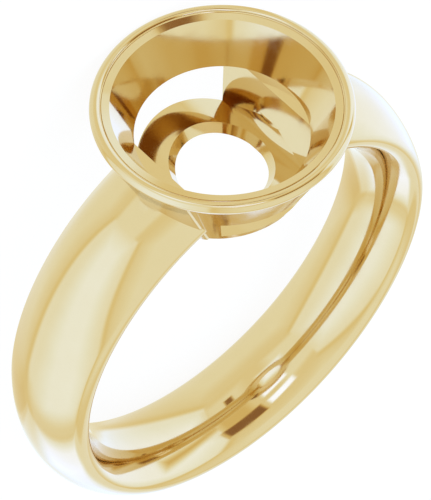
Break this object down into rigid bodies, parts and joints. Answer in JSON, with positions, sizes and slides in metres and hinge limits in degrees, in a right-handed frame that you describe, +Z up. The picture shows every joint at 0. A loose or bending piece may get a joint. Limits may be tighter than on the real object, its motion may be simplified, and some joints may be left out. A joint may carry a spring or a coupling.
{
  "type": "bezel solitaire engagement ring mounting without its stone",
  "caption": "Polished gold comfort-fit ring band with a flared, bead-rimmed bezel cup, empty and ready for a round stone, over an open gallery.",
  "frame": {"origin": "middle of the outline seen from above, on the surface that the ring lies on", "axes": "+Z up from the surface, -Y the way the stone's cup opens, X across the ring; the ring lies on its side, so the finger hole runs nearly along Z"},
  "size_m": [0.022, 0.0246, 0.0111],
  "materials": {
    "yellow_gold": "mirror-polished 14 karat yellow gold"
  },
  "bodies": {
    "root": {"bezel_ring": "yellow_gold"}
  },
  "joints": []
}
